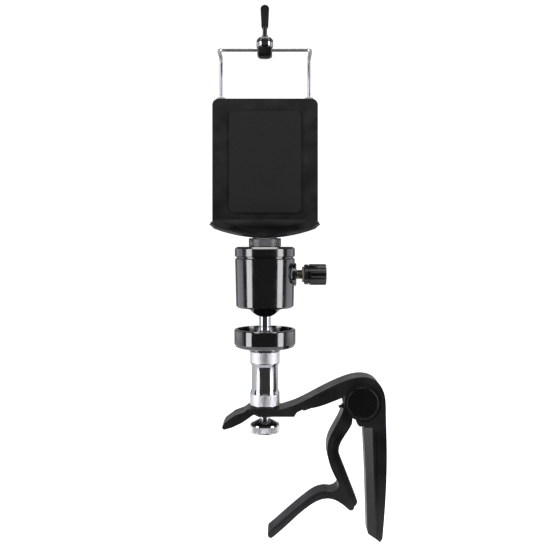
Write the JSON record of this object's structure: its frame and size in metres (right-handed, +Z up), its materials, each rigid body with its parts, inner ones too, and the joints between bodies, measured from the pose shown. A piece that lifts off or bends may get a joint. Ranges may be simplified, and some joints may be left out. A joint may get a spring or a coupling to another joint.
{
  "type": "guitar headstock clamp phone holder",
  "caption": "Black capo-style spring clamp with a chrome spigot, ball head with side lock knob and a spring-wire phone clip with a top thumb-turn.",
  "frame": {"origin": "mast axis at the gripping face of the arm's pad", "axes": "X to the right as pictured, Y from the front to the back of the phone clip, Z up the mast"},
  "size_m": [0.0813, 0.0286, 0.2473],
  "materials": {
    "black_metal": "satin black powder coat",
    "black_anodised": "gloss black",
    "chrome": "polished",
    "steel": "brushed, knurled",
    "black_plastic": "matt black",
    "gloss_plastic": "gloss black",
    "rubber": "matt",
    "brass": "dull brass",
    "nylon": "natural nylon"
  },
  "bodies": {
    "clamp": {"clamp_arm": "black_metal", "arm_pad": "rubber", "pivot_pin": "steel", "pivot_cap_front": "black_metal", "pivot_cap_back": "black_metal", "torsion_spring": "steel", "seat_washer": "black_plastic"},
    "jaw": {"jaw_lever": "black_metal", "cradle_pad": "rubber"},
    "thumb_carrier": {"thumb_washer": "steel"},
    "thumb": {"thumb_screw": "chrome"},
    "mast": {"adapter": "chrome", "platform_stud": "steel", "platform_disc": "black_anodised", "platform_pad": "rubber", "ball_stem": "chrome"},
    "ring": {"friction_ring": "nylon"},
    "cup": {"ball_cup": "nylon"},
    "holder": {"ball_housing": "black_anodised", "housing_cap": "black_anodised", "wave_spring": "steel", "coupling_stud": "steel", "thread_insert": "brass", "holder_base": "gloss_plastic", "lower_jaw_pad": "rubber", "spine": "black_plastic", "spine_cover": "black_plastic", "spine_pad": "rubber", "cover_screws": "steel", "base_screws": "steel", "leg_bushes": "nylon", "leg_spring_left": "steel", "leg_spring_right": "steel"},
    "lock_carrier": {"knob_washer": "nylon"},
    "lock": {"lock_screw": "brass", "lock_knob": "gloss_plastic"},
    "wire": {"wire_frame": "chrome", "leg_stops": "black_plastic", "clamp_block": "black_plastic", "chrome_ring": "chrome", "dome_nut": "gloss_plastic"},
    "foot": {"hold_down_foot": "rubber"},
    "hold_down": {"hold_down_screw": "black_plastic"}
  },
  "joints": [
    {"name": "jaw_hinge", "type": "hinge", "parent": "clamp", "child": "jaw", "pos_m": [0.0448, 0, 0.0065], "axis": [0, 1, 0], "range_deg": [-3.5, 26], "stiffness_Nm_per_rad": 1, "springref_deg": 45.84, "deforming": ["torsion_spring"]},
    {"name": "mast_swivel", "type": "hinge", "parent": "clamp", "child": "mast", "pos_m": [0, 0, 0.004], "axis": [0, 0, 1], "continuous": true},
    {"name": "thumb_travel", "type": "slide", "parent": "clamp", "child": "thumb_carrier", "axis": [0, 0, 1], "range_m": [-0.008, 0]},
    {"name": "thumb_turn", "type": "hinge", "parent": "thumb_carrier", "child": "thumb", "pos_m": [0, 0, 0], "axis": [0, 0, 1], "range_deg": [-2296.1, 5]},
    {"name": "ball_tilt", "type": "hinge", "parent": "mast", "child": "ring", "pos_m": [0, 0, 0.0537], "axis": [1, 0, 0], "range_deg": [-20, 20]},
    {"name": "ball_roll", "type": "hinge", "parent": "ring", "child": "cup", "pos_m": [0, 0, 0.0537], "axis": [0, 1, 0], "range_deg": [-20, 20]},
    {"name": "ball_pan", "type": "hinge", "parent": "cup", "child": "holder", "pos_m": [0, 0, 0.0537], "axis": [0, 0, 1], "continuous": true},
    {"name": "lock_travel", "type": "slide", "parent": "holder", "child": "lock_carrier", "axis": [1, 0, 0], "range_m": [0, 0.0024]},
    {"name": "lock_turn", "type": "hinge", "parent": "lock_carrier", "child": "lock", "pos_m": [0.02, 0, 0.065], "axis": [1, 0, 0], "range_deg": [-5, 1089]},
    {"name": "wire_slide", "type": "slide", "parent": "holder", "child": "wire", "axis": [0, 0, 1], "range_m": [-0.0165, 0.008], "stiffness_N_per_m": 150, "springref_m": -0.02, "deforming": ["leg_spring_left", "leg_spring_right"]},
    {"name": "foot_travel", "type": "slide", "parent": "wire", "child": "foot", "axis": [0, 0, 1], "range_m": [-0.0025, 0]},
    {"name": "hold_down_turn", "type": "hinge", "parent": "foot", "child": "hold_down", "pos_m": [0, -0.0026, 0.17], "axis": [0, 0, 1], "range_deg": [-1296, 5]}
  ],
  "couplings": [
    {"joint": "thumb_turn", "follows": "thumb_travel", "rad_per_m": 4947.4},
    {"joint": "lock_turn", "follows": "lock_travel", "rad_per_m": 7854},
    {"joint": "hold_down_turn", "follows": "foot_travel", "rad_per_m": 8976}
  ]
}
